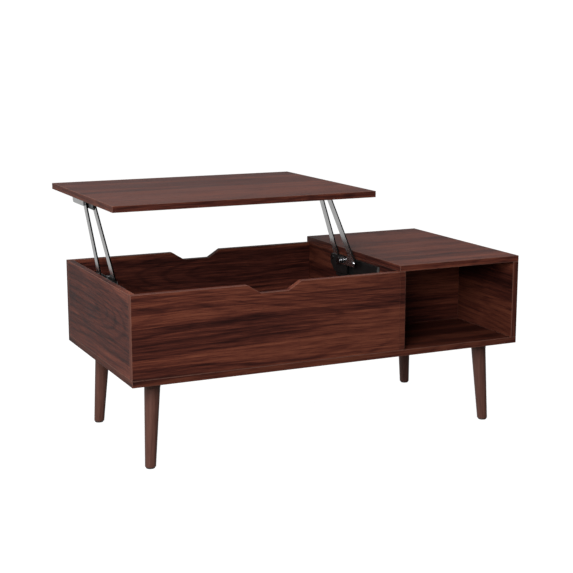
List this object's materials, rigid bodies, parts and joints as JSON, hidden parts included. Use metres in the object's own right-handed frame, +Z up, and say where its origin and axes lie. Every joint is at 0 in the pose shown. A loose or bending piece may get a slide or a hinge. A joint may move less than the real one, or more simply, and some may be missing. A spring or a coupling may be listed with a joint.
{
  "type": "lift top coffee table",
  "caption": "Lift-top coffee table with splayed round legs, a storage bin under the rising lid, a fixed side top and open cubbies beneath it.",
  "frame": {"origin": "on the floor, under the middle of the table's outline as it stands with the lift top raised (the body's own middle is 59 mm towards -Y)", "axes": "+X along the table from the lift-top end to the cubby end, +Y towards the side that the top lifts to, +Z up"},
  "size_m": [1, 0.618, 0.5885],
  "materials": {
    "walnut_board": "satin walnut foil on particle board",
    "stained_leg": "satin walnut stain on solid wood",
    "beech_dowel": "bare beech",
    "grey_steel": "light grey gloss coating",
    "black_steel": "black gloss coating",
    "zinc_fastener": "bright zinc plate",
    "washer_nylon": "natural nylon",
    "glide_plastic": "black moulded glide",
    "bumper_rubber": "soft rubber"
  },
  "bodies": {
    "base": {"back_panel": "walnut_board", "base_rail_left": "black_steel", "base_rail_right": "black_steel", "bottom_panel": "walnut_board", "cam_bolts": "zinc_fastener", "cam_caps": "walnut_board", "cam_locks": "zinc_fastener", "cubby_partition": "walnut_board", "divider_panel": "walnut_board", "fixed_top_panel": "walnut_board", "foot_glides": "glide_plastic", "front_panel": "walnut_board", "left_side_panel": "walnut_board", "leg_back_left": "stained_leg", "leg_back_right": "stained_leg", "leg_collar_back_left": "stained_leg", "leg_collar_back_right": "stained_leg", "leg_collar_front_left": "stained_leg", "leg_collar_front_right": "stained_leg", "leg_front_left": "stained_leg", "leg_front_right": "stained_leg", "leg_hanger_bolts": "zinc_fastener", "leg_insert_nuts": "zinc_fastener", "rail_screws_left": "zinc_fastener", "rail_screws_right": "zinc_fastener", "rail_stops_left": "bumper_rubber", "rail_stops_right": "bumper_rubber", "right_side_panel": "walnut_board", "wood_dowels": "beech_dowel"},
    "slide_left": {"slide_rail_left": "black_steel"},
    "slide_right": {"slide_rail_right": "black_steel"},
    "carriage_left": {"carriage_pins_left": "zinc_fastener", "carriage_washers_left": "washer_nylon", "lift_spring_left": "zinc_fastener", "pivot_carriage_left": "black_steel"},
    "carriage_right": {"carriage_pins_right": "zinc_fastener", "carriage_washers_right": "washer_nylon", "lift_spring_right": "zinc_fastener", "pivot_carriage_right": "black_steel"},
    "rear_arm_left": {"rear_arm_left": "grey_steel"},
    "rear_arm_right": {"rear_arm_right": "grey_steel"},
    "front_arm_left": {"arm_stud_left": "zinc_fastener", "front_arm_left": "grey_steel"},
    "front_arm_right": {"arm_stud_right": "zinc_fastener", "front_arm_right": "grey_steel"},
    "lift_top": {"bracket_screws_left": "zinc_fastener", "bracket_screws_right": "zinc_fastener", "lid_bracket_left": "grey_steel", "lid_bracket_right": "grey_steel", "lid_bumpers": "bumper_rubber", "lid_pins_left": "zinc_fastener", "lid_pins_right": "zinc_fastener", "lid_washers_left": "washer_nylon", "lid_washers_right": "washer_nylon", "lift_top_panel": "walnut_board"}
  },
  "joints": [
    {"name": "slide_rail_run_left", "type": "slide", "parent": "base", "child": "slide_left", "axis": [0, 1, 0], "range_m": [0, 0.07536]},
    {"name": "slide_rail_run_right", "type": "slide", "parent": "base", "child": "slide_right", "axis": [0, 1, 0], "range_m": [0, 0.07536]},
    {"name": "carriage_slide_left", "type": "slide", "parent": "base", "child": "carriage_left", "axis": [0, 1, 0], "range_m": [0, 0.15071]},
    {"name": "carriage_slide_right", "type": "slide", "parent": "base", "child": "carriage_right", "axis": [0, 1, 0], "range_m": [0, 0.15071]},
    {"name": "lift", "type": "hinge", "parent": "carriage_left", "child": "rear_arm_left", "pos_m": [-0.47465, 0.014, 0.3975], "axis": [1, 0, 0], "range_deg": [0, 117.5]},
    {"name": "rear_arm_pivot_right", "type": "hinge", "parent": "carriage_right", "child": "rear_arm_right", "pos_m": [0.15465, 0.014, 0.3975], "axis": [1, 0, 0], "range_deg": [0, 117.5]},
    {"name": "front_arm_pivot_left", "type": "hinge", "parent": "carriage_left", "child": "front_arm_left", "pos_m": [-0.46895, -0.0427, 0.3975], "axis": [1, 0, 0], "range_deg": [0, 117.5]},
    {"name": "front_arm_pivot_right", "type": "hinge", "parent": "carriage_right", "child": "front_arm_right", "pos_m": [0.14895, -0.0427, 0.3975], "axis": [1, 0, 0], "range_deg": [0, 117.5]},
    {"name": "lid_pivot", "type": "hinge", "parent": "rear_arm_left", "child": "lift_top", "pos_m": [-0.47465, 0.0989, 0.5605], "axis": [1, 0, 0], "range_deg": [-117.5, 0]}
  ],
  "couplings": [
    {"joint": "slide_rail_run_left", "follows": "lift", "m_per_rad": 0.036739},
    {"joint": "slide_rail_run_right", "follows": "lift", "m_per_rad": 0.036739},
    {"joint": "carriage_slide_left", "follows": "lift", "m_per_rad": 0.073478},
    {"joint": "carriage_slide_right", "follows": "lift", "m_per_rad": 0.073478},
    {"joint": "rear_arm_pivot_right", "follows": "lift", "ratio": 1},
    {"joint": "front_arm_pivot_left", "follows": "lift", "ratio": 1},
    {"joint": "front_arm_pivot_right", "follows": "lift", "ratio": 1},
    {"joint": "lid_pivot", "follows": "lift", "ratio": -1}
  ]
}
